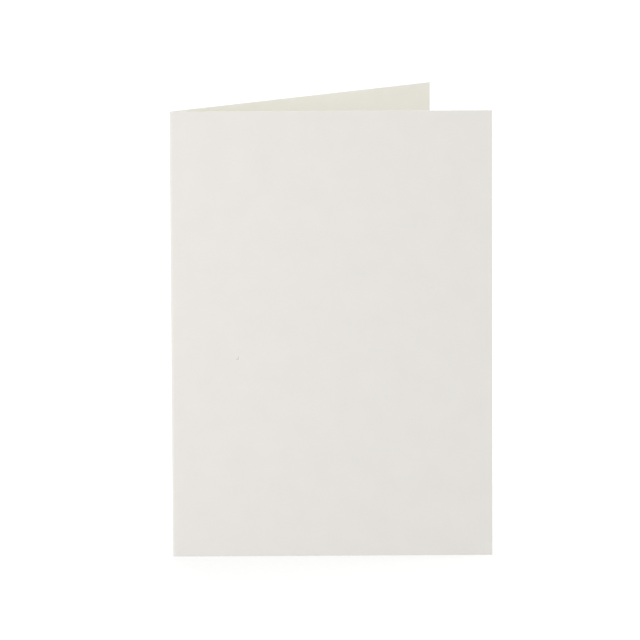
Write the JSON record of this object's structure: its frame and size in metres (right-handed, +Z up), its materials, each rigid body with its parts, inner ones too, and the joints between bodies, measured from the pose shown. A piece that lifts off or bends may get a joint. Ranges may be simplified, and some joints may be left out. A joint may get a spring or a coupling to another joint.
{
  "type": "blank folded card",
  "caption": "Blank ivory greeting card made from one creased and folded sheet, standing open on its base edges.",
  "frame": {"origin": "middle of the card's outline at the level of its base edges, as it stands open", "axes": "+Z up along the fold and the height of the card, +X along the front panel from the fold to its free edge, -Y out of the front panel's cover side"},
  "size_m": [0.105, 0.0614, 0.148],
  "materials": {
    "card": "matte"
  },
  "bodies": {
    "root": {"folded_card": "card"}
  },
  "joints": []
}
